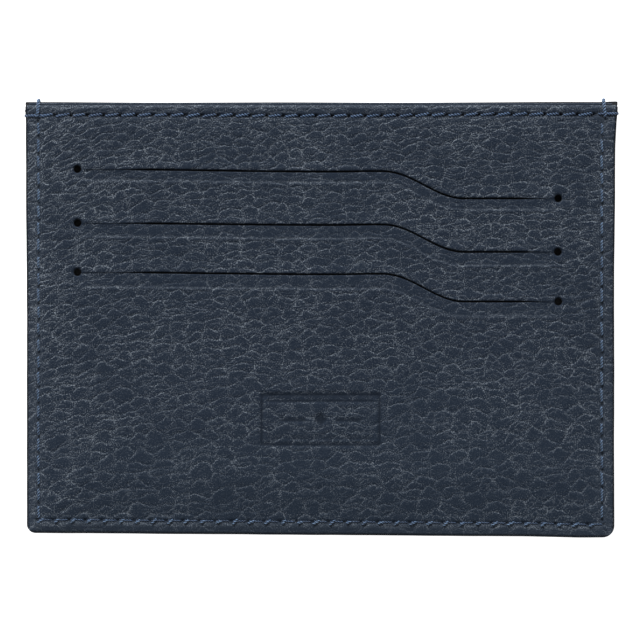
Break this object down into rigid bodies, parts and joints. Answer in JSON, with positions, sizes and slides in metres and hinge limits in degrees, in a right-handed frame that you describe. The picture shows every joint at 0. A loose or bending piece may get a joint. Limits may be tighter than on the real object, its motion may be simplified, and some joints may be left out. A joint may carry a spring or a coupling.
{
  "type": "card holder",
  "caption": "Slim flat leather card holder with stepped card slots cut into both faces, fabric-lined pockets behind them and a centre pocket open at the top edge.",
  "frame": {"origin": "middle of the footprint on the back face, so the holder lies on its back", "axes": "+X to the right seen from the front, +Y towards the mouth, +Z out of the front face"},
  "size_m": [0.107, 0.0788, 0.0042],
  "materials": {
    "grained_leather": "pebbled navy leather, satin",
    "facing_leather": "smooth navy leather, matte",
    "lining_fabric": "plain woven charcoal lining",
    "sewing_thread": "twisted blue polyester thread",
    "edge_paint": "dark acrylic edge coating, satin"
  },
  "bodies": {
    "root": {"front_panel": "grained_leather", "back_panel": "grained_leather", "front_mouth_facing": "facing_leather", "back_mouth_facing": "facing_leather", "front_top_pocket_lining": "lining_fabric", "front_middle_pocket_lining": "lining_fabric", "front_bottom_pocket_lining": "lining_fabric", "back_top_pocket_lining": "lining_fabric", "back_middle_pocket_lining": "lining_fabric", "back_bottom_pocket_lining": "lining_fabric", "centre_pocket_front_lining": "lining_fabric", "centre_pocket_back_lining": "lining_fabric", "front_mouth_thread": "sewing_thread", "back_mouth_thread": "sewing_thread", "front_seam_thread": "sewing_thread", "back_seam_thread": "sewing_thread", "edge_coating": "edge_paint"}
  },
  "joints": []
}
